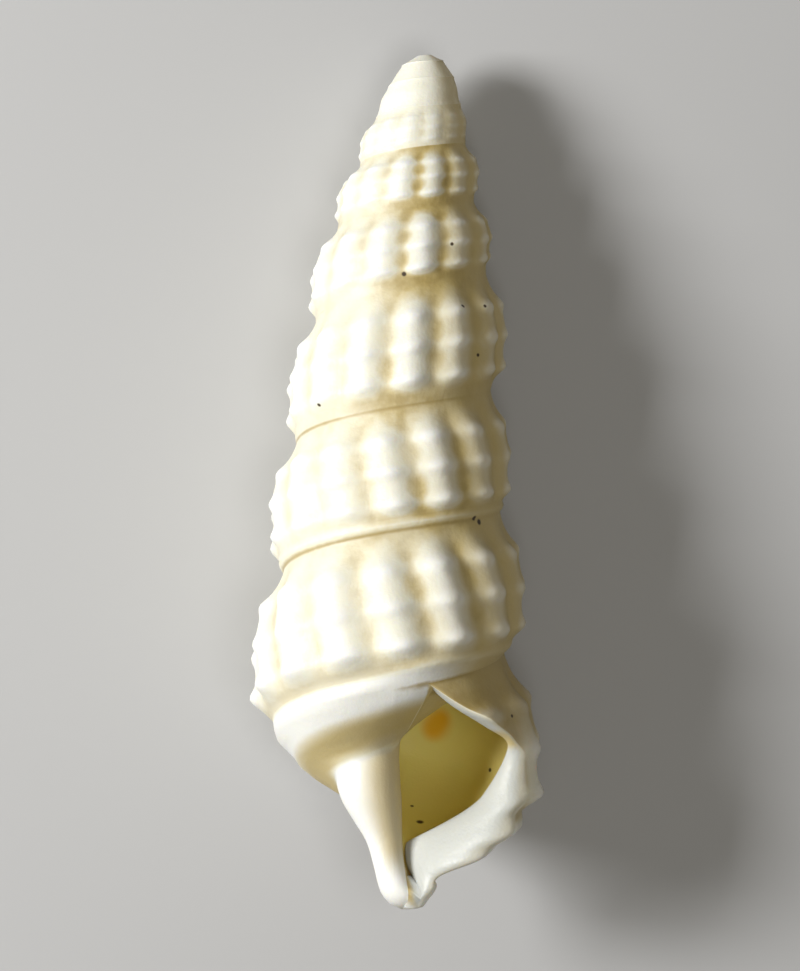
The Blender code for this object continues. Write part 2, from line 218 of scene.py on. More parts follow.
# Painted shade on the shoulder above the lip fades out over these drops
SHOULDER_SHADE_FOOT = (0.25, 0.6)
# Painted shade in a notch of the lip, where the lip's grey gives way to ochre
SLIT_SHADE_TOP, SLIT_SHADE_FOOT = (0.34, 0.40), (0.46, 0.52)
# by turn:
LAST_TURN = (6.1, 6.2)
# Painted shade on the shoulder above the lip comes in over these turns
SHOULDER_SHADE_TURNS = (6.82, 7.05)
# Painted shade on the pillar's side towards the mouth, which faces away from the light
PILLAR_SHADE_TURNS = (6.3, 6.5)
# by the cosine of the turn, -1 on the left and 1 on the right:
# Painted shade: the ochre of the low places is weaker on the lit left and full on the right
GROOVE_SHADE_SIDE = (-0.6, 0.25)
# Painted shade over the right side, which faces away from the light
SHADED_FLANK_SIDE = (0.15, 0.95)
# Painted shade on the pillar's side towards the mouth
PILLAR_SHADE_SIDE = (-0.85, -0.35)
# by depth, from the lip's outer edge at -1 over its inner edge at 0 to the turns behind it:
OUTSIDE_DEPTHS = (-1.0, -0.9)
EDGE_DEPTHS = (-1.0, -0.6)
INSIDE_DEPTHS = (0.02, 0.30)
# and by the seam, the rim, the blotches, and the place along the shell in millimetres.
SEAM_NEARNESS = (0.35, 1.0)
RIM_SHARES = (0.0, 0.35)
BLOTCH_EDGE = (0.38, 0.62)
# Where the painted shade on the pillar's side ends towards the tip
PILLAR_SHADE_ALONG = (-2.75, -2.50)

# How far the grain frays the edges of the shades, and how strong each shade is
HEIGHT_FRAY, SEAM_FRAY, FLANK_SHADE_FRAY = 0.35, 0.5, 0.4
GROOVE_SHADE_LEAST = 0.30
LOW_LEAST, PIT_LEAST, BLOTCH_SHARE = 0.5, 0.35, 0.5
# Strengths of the painted shade along the seams, over the right side, in the crease, on the
# pillar's side, on the shoulder and in the notch of the lip
SEAM_SHADE_STRENGTH = 0.75
FLANK_SHADE_STRENGTH, FLANK_SHADE_CREST_LESS, FLANK_SHADE_PILLAR_LESS = 0.90, 0.40, 0.8
CREASE_SHADE_STRENGTH = 0.95
PILLAR_SHADE_STRENGTH = 0.75
SHOULDER_SHADE_STRENGTH = 0.5
SLIT_SHADE_STRENGTH = 0.85

# Stage, in metres
FLOOR = 0.2
FLOOR_ROUGHNESS = 0.8
KEY_PLACE, KEY_SIZE = (-0.037, 0.006, 0.025), 0.014
FILL_PLACE, FILL_SIZE = (0.002, -0.006, 0.05), 0.02
WORLD_COLOUR = (1.0, 0.90, 0.68, 1.0)


def fade(x, start, length):
    """0 up to start, 1 from start + length on, and between them the smooth step x² (3 - 2x)."""
    x = np.clip((x - start) / length, 0.0, 1.0)
    return x * x * (3.0 - 2.0 * x)


def bump(x, centre, width):
    """Bell curve: e to the power of minus the squared distance in widths."""
    return np.exp(-(((x - centre) / width) ** 2))


def curve_through(x, places, values):
    """Cubic through the values at the places; each slope is that of its neighbours' chord."""
    places = np.asarray(places, float)
    values = np.asarray(values, float)
    near = np.arange(len(places))
    low = np.maximum(near - 1, 0)
    high = np.minimum(near + 1, len(places) - 1)
    slopes = (values[high] - values[low]) / (places[high] - places[low])
    k = np.clip(np.searchsorted(places, x) - 1, 0, len(places) - 2)
    gap = places[k + 1] - places[k]
    u = (x - places[k]) / gap
    start = values[k] * (1 + 2 * u) + slopes[k] * gap * u
    end = values[k + 1] * (3 - 2 * u) + slopes[k + 1] * gap * (u - 1)
    return start * (1 - u) ** 2 + end * u * u


def by_turn(s, values):
    """Value at a turn, from the values for whole turns."""
    return curve_through(s, FIRST_TURN + np.arange(len(values)), values)


def suture_drop(s):
    """Distance of the suture from the apex: the growth curve, steeper near the mouth."""
    return by_turn(s, SUTURE_DROP) + DESCENT * fade(s, DESCENT_START, DESCENT_TURNS)


def whorl_height(s):
    """Height that the ribs and cords are spaced by, from one turn of the growth curve."""
    return by_turn(s + 1, SUTURE_DROP) - by_turn(s, SUTURE_DROP)


def strip_end(s):
    """Drop of the strip's lower edge: 1, but more where the next turn's suture descends."""
    descended = DESCENT * fade(s + 1, DESCENT_START, DESCENT_TURNS)
    return 1 + descended * (1 - fade(s, END_TURN - 1, STRIP_EASE_TURNS)) / whorl_height(s)


def maturity(s):
    """0 on the smooth first turns, 1 where the sculpture is full."""
    return fade(s, RELIEF_START, RELIEF_TURNS)


def relief(s, share):
    """Height of a bead: a share of the whorl's height, fading in after the first turns."""
    return share * whorl_height(s) * maturity(s)


def rib_wave(s, t):
    """Height of the ribs, 0 in the troughs and 1 on the crests, and each place's rib number.

    It is a raised cosine of the rib count, which grows along the turns; later ribs lean.
    """
    lean = RIB_SLANT * fade(s, SLANT_START, SLANT_TURNS)
    count = curve_through(s + lean * (t - 0.5), RIB_TURNS, RIB_COUNTS)
    return (0.5 + 0.5 * np.cos(2 * np.pi * count)) ** RIB_FULLNESS, np.round(count).astype(int)


def sculpture(s, t, uncovered, sizes):
    """Height in shares of the relief: the sum of ribs, beaded cords, a thread and basal cords.

    Each cord is a bell curve over the drop. It swells into a bead where it crosses a rib, and
    each rib and bead has its own random size. The ribs fade out towards both sutures.
    """
    rib, number = rib_wave(s, t)
    uneven = np.random.default_rng(SEED).normal(1.0, UNEVENNESS, (RIBS_DRAWN, len(CORDS) + 1))
    uneven = uneven[np.clip(number + RIBS_BEFORE, 0, RIBS_DRAWN - 1)]
    reach = fade(t, RIB_TOP, RIB_TOP_FADE) * (1 - fade(t, RIB_FOOT, RIB_FOOT_FADE))
    plain = fade(s, PLAIN_LIP_START, PLAIN_LIP_TURNS)
    plain = plain * (1 - fade(t, PLAIN_LIP_DROP, PLAIN_LIP_FADE))
    reach = reach * (1 - plain)
    height = sizes.ribs * rib * reach * uneven[..., 0]
    for k, (centre, weight) in enumerate(CORDS):
        bead = CORD_SHARE + sizes.beads * rib * uneven[..., k + 1]
        height = height + weight * bump(t, centre, CORD_WIDTH) * bead
    drop, width, share = SUTURE_THREAD
    covered = fade(s, THREAD_START, THREAD_TURNS) * (1 - uncovered)
    height = height + covered * share * bump(t, drop, width)
    near_lip = lip_nearness(s)
    swell = uncovered * (1 + BASAL_SWELL * near_lip)
    for drop, width, share in BASAL_CORDS:
        height = height + swell * share * bump(t + BASAL_RISE * near_lip, drop, width)
    return height


def uncovered_part(s, t):
    """1 where no later turn hides the whorl's lower part, 0 above the next turn's suture."""
    last_turn = fade(s, END_TURN - 1, UNCOVER_TURNS)
    below_suture = fade(t, strip_end(s), UNCOVER_DROP)
    return np.maximum(last_turn, below_suture)


def lip_nearness(s):
    """0 on the older turns, 1 at the lip."""
    return fade(s, SHALLOWER_START, SHALLOWER_TURNS)


def base_depth(s, less, end_down):
    """Drop from the periphery to where the base has turned in, at most down to end_down.

    It is the smaller of the full depth and the room left, softened as half their sum less
    half the root of their squared gap and a softness squared.
    """
    thickest = BASE_DEPTH + (LIP_BASE_DEPTH - BASE_DEPTH) * lip_nearness(s) - less
    room = (end_down - suture_drop(s)) / whorl_height(s) - BASE_START
    return 0.5 * (thickest + room - np.hypot(thickest - room, DEPTH_SOFTNESS))


def plain_radius(s, t, uncovered, depth, share):
    """Radius without sculpture.

    It goes out from the suture in a smooth step and stays level. Where the next turn covers
    it, it is tucked in along a parabola; on the base it follows a rounded superellipse. The
    first turns lie in one cone and become rounder one by one.
    """
    top = by_turn(s, SUTURE_RADIUS)
    bottom = by_turn(s + 1, SUTURE_RADIUS)
    full = by_turn(s, WHORL_RADIUS) - relief(s, share)
    side = top + (full - top) * fade(t, 0.0, SHOULDER)
    tuck = np.clip((strip_end(s) - t) / TUCK, 0.0, 1.0)
    covered = bottom + (side - bottom) * (1 - (1 - tuck) ** 2)
    x = np.clip((t - BASE_START) / depth, 0.0, 1.0)
    free = side * (1 - x ** BASE_FULLNESS) ** (1 / BASE_FULLNESS)
    whorl = covered * (1 - uncovered) + free * uncovered
    cone = top + (bottom - top) * t
    return cone + (whorl - cone) * fade(s, ROUND_START, ROUND_TURNS)


def pillar_radius(down, angle):
    """Distance from the axis to the pillar, whose section is a circle off its centre.

    With the centre at distance c along the direction and e across it, it is
    c + sqrt(R² - e²). The circle is round at the tip and always keeps the axis inside.
    """
    down = np.clip(down, PILLAR_DROP[0], SHELL_LENGTH)
    to_tip = np.minimum((SHELL_LENGTH - down) / TIP_ROUND, 1.0)
    radius = curve_through(down, PILLAR_DROP, PILLAR_RADIUS) * np.sqrt(1 - (1 - to_tip) ** 2)
    right = curve_through(down, PILLAR_DROP, PILLAR_RIGHT)
    front = curve_through(down, PILLAR_DROP, PILLAR_FRONT)
    away = np.hypot(right, front) + TINY
    kept = np.minimum(1.0, OFF_CENTRE * radius / away)
    along = kept * (right * np.cos(angle) + front * np.sin(angle))
    across = kept * (front * np.cos(angle) - right * np.sin(angle))
    return along + np.sqrt(np.maximum(radius ** 2 - across ** 2, 0.0))


def whorl_point(s, t, sizes, inset=0.0, folded=0.0, end_down=SHELL_LENGTH, sculpted=1.0):
    """Point of the whorl at turn s and drop t, as (right, down, front), and its measures.

    The radius is the larger of the whorl's and the pillar's, joined by a soft corner: half
    their sum plus half the root of their squared gap and the corner's squared size. Inside
    the mouth the wall is folded in: it lies inset from the outside and clear of the pillar.
    The measures are the height of the sculpture, how far the place belongs to the pillar,
    how close it is to a suture and how far it is folded over the rim.
    """
    s, t = np.broadcast_arrays(s, t)
    down = suture_drop(s) + whorl_height(s) * t
    uncovered = uncovered_part(s, t)
    depth = base_depth(s, HOLLOW_SHALLOWER * folded, end_down)
    height = sculpture(s, t, uncovered, sizes) * sculpted
    whorl = plain_radius(s, t, uncovered, depth, sizes.relief) - inset
    whorl = whorl + height * relief(s, sizes.relief)
    angle = 2 * np.pi * s
    wall = CANAL_WALL * fade(SHELL_LENGTH - down, WALL_END, WALL_FADE) * (1 - folded)
    pillar = pillar_radius(down, angle) + (wall + CANAL_GAP * folded ** 2) * lip_nearness(s)
    below = fade(t, JOIN_DROP, JOIN_FADE)
    gap = whorl - pillar
    softness = CANAL_SOFTNESS * folded + LIP_SOFTNESS * lip_nearness(s) * (1 - folded)
    softness = (JOIN_SOFTNESS + softness) * np.minimum(pillar / FULL_PILLAR, 1.0)
    spread = np.hypot(gap, softness) + TINY
    joined = np.maximum(0.5 * (whorl + pillar + spread), 0.0)
    share = (0.5 - 0.5 * gap / spread) * below
    radius = whorl * (1 - below) + joined * below
    point = np.stack([radius * np.cos(angle), down, radius * np.sin(angle)], axis=-1)
    seam = bump(t * whorl_height(s), 0.0, SEAM_WIDTH)
    seam = seam + (1 - uncovered) * bump((strip_end(s) - t) * whorl_height(s), 0.0, SEAM_WIDTH)
    seam = seam * (1 - folded) * fade(s, SEAM_START, SEAM_TURNS)
    height = PLAIN_HEIGHT + (height * (1 - share) - PLAIN_HEIGHT) * maturity(s)
    rim = folded * np.ones_like(t)
    return point, {"height": height, "pillar": share, "seam": seam, "rim": rim}


def lip_lag(t):
    """Turns that the lip lies behind its upper end at drop t."""
    return curve_through(t, LIP_DROPS, LIP_LAGS)


def leaned(s, t):
    """Turn of a mesh column at drop t: towards the mouth the columns lean with the lip."""
    return s + lip_lag(t) * fade(s, LIP_LAG_START, END_TURN - LIP_LAG_START)


def base_drops(s, end_down, first, rows):
    """Drops from first down to end_down, closer together where the base turns in.

    Up to there they follow a quarter sine, and evenly from there on.
    """
    s = np.asarray(s, float)[..., None]
    first = np.broadcast_to(np.asarray(first, float), s.shape[:-1])[..., None]
    end = (end_down - suture_drop(s)) / whorl_height(s)
    turn_in = np.minimum(BASE_START + BASE_DEPTH, end)
    part = (turn_in - first) / (turn_in - first + PILLAR_SPACING * (end - turn_in))
    share = np.arange(1, rows + 1) / rows
    curved = first + (turn_in - first) * np.sin(0.5 * np.pi * np.minimum(share / part, 1))
    along = np.clip((share - part) / np.maximum(1 - part, TINY), 0, 1)
    return curved + (end - turn_in) * along


def strip_drops(s):
    """Evenly spaced drops from the suture down to the next turn."""
    return np.arange(STRIP_ROWS) / STRIP_ROWS * strip_end(np.asarray(s))[..., None]


@dataclass
class Surface:
    """Finished surface: its points and faces, each face corner's place and the measures."""
    points: np.ndarray
    faces: list
    corners: np.ndarray
    measures: dict


class Patches:
    """Collects grids of points with their measures, and the faces between them.

    Each corner of a face also has its own turn and drop, so that two faces which meet in a
    suture can count the drop differently there.
    """

    def __init__(self):
        self.points = []
        self.measures = []
        self.faces = []
        self.corners = []
        self.count = 0

    def add(self, point, **measures):
        """Stores a grid of points and gives the grid of their numbers."""
        shape = point.shape[:-1]
        number = self.count + np.arange(int(np.prod(shape))).reshape(shape)
        self.count += number.size
        self.points.append(point.reshape(-1, 3))
        filled = {key: np.broadcast_to(value, shape).ravel() for key, value in measures.items()}
        self.measures.append(filled)
        return number

    def join(self, number, turn, drop):
        """Quads between the neighbouring rows and columns of a grid of point numbers."""
        place = np.stack(np.broadcast_arrays(turn, drop), axis=-1)
        faces, corners = (np.stack([grid[:-1, :-1], grid[1:, :-1], grid[1:, 1:], grid[:-1, 1:]], 2)
                          for grid in (number, place))
        self.faces.append(faces.reshape(-1, 4))
        self.corners.append(corners.reshape(-1, 4, 2))

    def fan(self, ring, middle, turn, drop):
        """Triangles from each side of a closed ring to one point, with one turn and drop."""
        after = np.roll(ring, -1)
        centre = np.full_like(ring, middle)
        self.faces.append(np.stack([after, ring, centre, centre], axis=-1))
        self.corners.append(np.broadcast_to([turn, drop], (len(ring), 4, 2)))

    def finish(self):
        """Surface with unused points and repeated corners left out.

        A quad with one repeated corner becomes a triangle, and one with more is dropped.
        """
        faces = np.concatenate(self.faces)
        corners = np.concatenate(self.corners)
        same = [faces[:, k] == faces[:, (k + 1) % 4] for k in range(4)]
        doubled = np.sum(same, axis=0)
        quads = faces[doubled == 0]
        corner_parts = [corners[doubled == 0].reshape(-1, 2)]
        triangles = []
        for k in range(4):
            found = (doubled == 1) & same[k]
            triangles.append(np.delete(faces[found], (k + 1) % 4, axis=1))
            corner_parts.append(np.delete(corners[found], (k + 1) % 4, axis=1).reshape(-1, 2))
        triangles = np.concatenate(triangles)
        used = np.unique(np.concatenate([quads.ravel(), triangles.ravel()]))
        renumbered = np.zeros(self.count, int)
        renumbered[used] = np.arange(len(used))
        measures = {}
        for key in self.measures[0]:
            values = np.concatenate([grid[key] for grid in self.measures])
            measures[key] = values[used]
        return Surface(points=np.concatenate(self.points)[used],
                       faces=renumbered[quads].tolist() + renumbered[triangles].tolist(),
                       corners=np.concatenate(corner_parts), measures=measures)


def outside_patches(patches, sizes):
    """The strip from apex to lip, and the last turn's base down to the tip."""
    count = round((END_TURN - START_TURN) * COLUMNS_PER_TURN)
    turn = START_TURN + np.arange(count + 1) / COLUMNS_PER_TURN
    drop = strip_drops(turn)
    point, measures = whorl_point(leaned(turn[:, None], drop), drop, sizes)
    strip = patches.add(point, depth=-1.0, **measures)

    last = turn[-1 - COLUMNS_PER_TURN:]
    edge = strip_end(last)[:, None]
    below = base_drops(leaned(last, TIP_DROP), SHELL_LENGTH, edge[:, 0], BASE_ROWS)
    base_drop = np.concatenate([edge, below], axis=1)
    point, measures = whorl_point(leaned(last[:, None], base_drop), base_drop, sizes)
    base = patches.add(point, depth=-1.0, **measures)
    base[0, 0] = strip[-1, 0]
    base[:, -1] = base[0, -1]

    under = np.concatenate([strip[COLUMNS_PER_TURN:, 0], base[1:, 0]])
    skin = np.concatenate([strip, under[:, None]], axis=1)
    patches.join(skin, turn[:, None], np.concatenate([drop, strip_end(turn)[:, None]], axis=1))
    patches.join(base, last[:, None], base_drop)

    apex = patches.add(np.zeros((1, 3)), depth=-1.0, height=PLAIN_HEIGHT, pillar=0.0, seam=0.0,
                       rim=0.0)
    ring = np.concatenate([strip[:COLUMNS_PER_TURN + 1, 0], strip[0, :0:-1]])
    patches.fan(ring, apex[0], APEX_TURN, CLOSED_DROP)
    return skin, base


def hollow_loop(back, pillar_back, turn_over, end_down, roof, sizes):
    """Closed section: the outer wall from roof to floor, then the pillar's side back up.

    back is how many turns it lies behind the lip. turn_over goes from 0 at the lip's outer
    edge to 1 at its inner edge, and the rim's width is turned in along half a cosine wave.
    """
    fold = 0.5 - 0.5 * math.cos(math.pi * turn_over)
    s = END_TURN - back
    end = float(strip_end(np.array(s)))
    rows = roof + (end - roof) * np.arange(1, STRIP_ROWS + 1) / STRIP_ROWS
    lag_share = 1 - fade(back, 0.0, HOLLOW_LAG_TURNS)
    low = s + lip_lag(TIP_DROP) * lag_share
    t = np.concatenate([rows, base_drops(low, end_down, end, BASE_ROWS)[:-1]])
    rim = curve_through(t, RIM_DROPS, RIM_WIDTHS)
    inset = fold * (rim + (WALL_THICKNESS - rim) * fade(back, 0.0, THINNING_TURNS))
    round_out = RIM_ROUND * rim / (2 * math.pi * by_turn(s, WHORL_RADIUS))
    swell = round_out * math.sin(math.pi * turn_over) * fade(t, 0.0, SWELL_DROP)
    turn = s + lip_lag(t) * lag_share + swell
    outer, measures = whorl_point(turn, t, sizes, inset, fold, end_down, 1 - fold)

    before = END_TURN - 1 - pillar_back
    first = strip_end(np.array(before)) + roof
    u = np.concatenate([[first], base_drops(before, end_down, first, BASE_ROWS)])[::-1]
    inner, inner_measures = whorl_point(np.array(before), u, sizes, sculpted=1 - turn_over)
    measures["rim"] = np.full(len(t), turn_over * (1 - fade(back, 0.0, RIM_TURNS)))
    for key, values in inner_measures.items():
        measures[key] = np.concatenate([values[-1:], measures[key], values[:-1]])
    point = np.concatenate([inner[-1:], outer, inner[:-1]])
    drop = np.concatenate([[0], t, u[:-1]])
    turn = np.concatenate([[before], np.full(len(t), s), np.full(len(u) - 1, before)])
    return point, measures, turn, drop


def mouth_patches(patches, skin, base, sizes):
    """Turns the lip over and leads the hollow back from it, closed at its far end."""
    loop = np.concatenate([skin[-1], base[-1, 1:], base[0, -2:0:-1]])
    rows, turns, drops = [loop], [], []
    for step in range(1, RIM_STEPS + 1):
        share = step / RIM_STEPS
        end_down = SHELL_LENGTH + (CANAL_END - SHELL_LENGTH) * share
        point, measures, turn, drop = hollow_loop(0.0, PILLAR_START * share, share, end_down,
                                                  ROOF_DROP * share, sizes)
        rows.append(patches.add(point, depth=share - 1.0, **measures))
        turns.append(turn)
        drops.append(drop)
    for step in range(1, HOLLOW_STEPS + 1):
        back = HOLLOW_TURNS * (step / HOLLOW_STEPS) ** HOLLOW_GROWTH
        s = END_TURN - back
        floor = suture_drop(s) + (BASE_START + BASE_DEPTH - HOLLOW_SHALLOWER) * whorl_height(s)
        point, measures, turn, drop = hollow_loop(back, PILLAR_START + back, 1.0,
                                                  np.minimum(floor, CANAL_END), ROOF_DROP, sizes)
        rows.append(patches.add(point, depth=back, **measures))
        turns.append(turn)
        drops.append(drop)
    middle = patches.add(point.mean(axis=0)[None], depth=back, height=0.0, pillar=0.0, seam=0.0,
                         rim=0.0)
    number = np.stack(rows)
    closed = np.concatenate([number, number[:, :1]], axis=1)
    turns = np.stack(turns[:1] + turns)
    drops = np.stack(drops[:1] + drops)
    turns = np.concatenate([turns, turns[:, -1:]], axis=1)
    drops = np.concatenate([drops, drops[:, -1:]], axis=1)
    patches.join(closed, turns, drops)
    patches.fan(number[-1], middle[0], turns[-1, 0], CLOSED_DROP)


def to_world(point):
    """Bows the axis along a parabola and turns the shell on to its back, in millimetres."""
    right, down, front = np.moveaxis(point, -1, 0)
    along = down / SHELL_LENGTH
    bowed = np.stack([right - 4 * BOW * along * (1 - along), -down, front], axis=-1)
    return bowed @ np.array(resting_turn()).T


def resting_turn():
    """Rotation from the mouth straight up to the pose at rest."""
    return Matrix.Rotation(-REST_TILT, 3, 'X') @ Matrix.Rotation(-REST_ROLL, 3, 'Y')


def shell_surface(sizes):
    """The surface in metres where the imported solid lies, and the shift that took it there.

    Its box is centred on the solid's from above, and their tops are level. What would lie
    under the floor is pressed flat.
    """
    patches = Patches()
    skin, base = outside_patches(patches, sizes)
    mouth_patches(patches, skin, base, sizes)
    surface = patches.finish()
    points = to_world(surface.points) * MM
    low, high = (np.array(corner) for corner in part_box("shell"))
    shift = (low + high - points.min(axis=0) - points.max(axis=0)) / 2
    shift[2] = high[2] - points[:, 2].max()
    surface.points = points + shift
    surface.points[:, 2] = np.maximum(surface.points[:, 2], 0.0)
    return surface, Vector(shift)


def mesh_object(name, surface):
    """Object at the origin with smooth faces, one attribute for each measure and a UV map."""
    data = bpy.data.meshes.new(name)
    data.from_pydata(surface.points, [], surface.faces)
    data.update()
    data.shade_smooth()
    for key, values in surface.measures.items():
        attribute = data.attributes.new(key, 'FLOAT', 'POINT')
        attribute.data.foreach_set("value", values.astype(np.float32))
    places = data.uv_layers.new(name=PLACE_MAP)
    places.data.foreach_set("uv", surface.corners.astype(np.float32).ravel())
    piece = bpy.data.objects.new(name, data)
    bpy.context.collection.objects.link(piece)
    return piece


def camera_matrix(shift):
    """Places the camera so that the two ends of the shell fall on their pixels."""
    ends = np.array([[0.0, 0.0, 0.0], [PILLAR_RIGHT[-1], SHELL_LENGTH, PILLAR_FRONT[-1]]])
    apex, tip = (Vector(end) * MM + shift for end in to_world(ends))
    turn = resting_turn()
    back = turn @ Vector((0.0, -math.sin(VIEW_TILT), math.cos(VIEW_TILT)))
    up = turn @ Vector((0.0, math.cos(VIEW_TILT), math.sin(VIEW_TILT)))
    right = up.cross(back)
    chord = apex - tip
    seen = Vector((chord.dot(right), chord.dot(up)))
    wanted = Vector((APEX_PIXEL[0] - TIP_PIXEL[0], TIP_PIXEL[1] - APEX_PIXEL[1]))
    roll = math.atan2(wanted.y, wanted.x) - math.atan2(seen.y, seen.x)
    right, up = (right * math.cos(roll) - up * math.sin(roll),
                 right * math.sin(roll) + up * math.cos(roll))
    scale = seen.length / wanted.length
    pixel = (Vector(APEX_PIXEL) + Vector(TIP_PIXEL)) / 2
    aside = (PICTURE[0] / 2 - pixel.x) * scale
    above = (pixel.y - PICTURE[1] / 2) * scale
    target = (apex + tip) / 2 + right * aside + up * above
    matrix = Matrix((right, up, back)).transposed().to_4x4()
    matrix.translation = target + back * (scale * max(PICTURE) * LENS / SENSOR)
    return matrix


def place_behind(pixel, matrix, tree):
    """Point of the surface that shows at a pixel of the picture."""
    aside = (pixel[0] - PICTURE[0] / 2) / max(PICTURE)
    above = (PICTURE[1] / 2 - pixel[1]) / max(PICTURE)
    direction = matrix.to_3x3() @ Vector((aside * SENSOR, above * SENSOR, -LENS)).normalized()
    place = tree.ray_cast(matrix.translation, direction)[0]
    if place is None:
        raise ValueError(f"no shell behind the mark at pixel {tuple(pixel)}")
    return place


class Value:
    """Output of a shader node that is calculated with like a number or a vector."""

    def __init__(self, graph, socket):
        self.graph = graph
        self.socket = socket

    def calculate(self, operation, first, second):
        """Adds the Math node, or the Vector Math node where this value is a vector."""
        kind = 'ShaderNodeVectorMath' if self.socket.type == 'VECTOR' else 'ShaderNodeMath'
        return self.graph.node(kind, {"operation": operation}, {0: first, 1: second})

    def output(self, name):
        """Another output of the same node."""
        return Value(self.graph, self.socket.node.outputs[name])

    def __add__(self, other):
        return self.calculate('ADD', self, other)

    def __radd__(self, other):
        return self.calculate('ADD', other, self)

    def __sub__(self, other):
        return self.calculate('SUBTRACT', self, other)

    def __rsub__(self, other):
        return self.calculate('SUBTRACT', other, self)

    def __mul__(self, other):
        return self.calculate('MULTIPLY', self, other)

    def __rmul__(self, other):
        return self.calculate('MULTIPLY', other, self)


class Graph:
    """Nodes of one material, whose outputs come back as values."""

    def __init__(self, name):
        self.material = bpy.data.materials.new(name)
        self.material.use_nodes = True
        self.tree = self.material.node_tree
        self.surface = self.tree.nodes["Principled BSDF"]

    def node(self, kind, settings=None, values=None, output=0):
        """Makes a node: its settings first, then its inputs as numbers or links."""
        made = self.tree.nodes.new(kind)
        for name, setting in (settings or {}).items():
            setattr(made, name, setting)
        for name, value in (values or {}).items():
            self.put(made.inputs[name], value)
        return Value(self, made.outputs[output])

    def put(self, socket, value):
        """Links a value to an input, or sets the input to a number, vector or colour."""
        if isinstance(value, Value):
            self.tree.links.new(value.socket, socket)
        elif socket.type == 'RGBA':
            socket.default_value = (*value[:3], 1.0)
        elif socket.type == 'VECTOR' and isinstance(value, (int, float)):
            socket.default_value = (value,) * 3
        else:
            socket.default_value = value

    def mix(self, factor, first, second):
        """Colour that goes from the first to the second with the factor."""
        return self.node('ShaderNodeMix', {"data_type": 'RGBA'},
                         {0: factor, 6: first, 7: second}, 2)

    def step(self, value, low, high):
        """Smooth step from 0 at low to 1 at high."""
        return self.node('ShaderNodeMapRange', {"interpolation_type": 'SMOOTHSTEP'},
                         {"Value": value, "From Min": low, "From Max": high})

    def between(self, value, rise, fall):
        """1 between two soft edges: one step up, times one minus another."""
        return self.step(value, *rise) * (1.0 - self.step(value, *fall))

    def noise(self, place, scale, detail):
        """Cloudy pattern around 0.5, with a number of octaves."""
        return self.node('ShaderNodeTexNoise', None,
                         {"Vector": place, "Scale": scale, "Detail": detail})

    def attribute(self, name):
        """One of the surface's own measures."""
        return self.node('ShaderNodeAttribute', {"attribute_name": name}, None, "Fac")

    def closeness(self, place, centre, radius, edge):
        """1 within a ball and 0 outside it, with a soft edge; all in metres."""
        distance = self.node('ShaderNodeVectorMath', {"operation": 'DISTANCE'},
                             {0: place, 1: centre}, "Value")
        return 1.0 - self.step(distance, radius * (1 - edge), radius * (1 + edge))


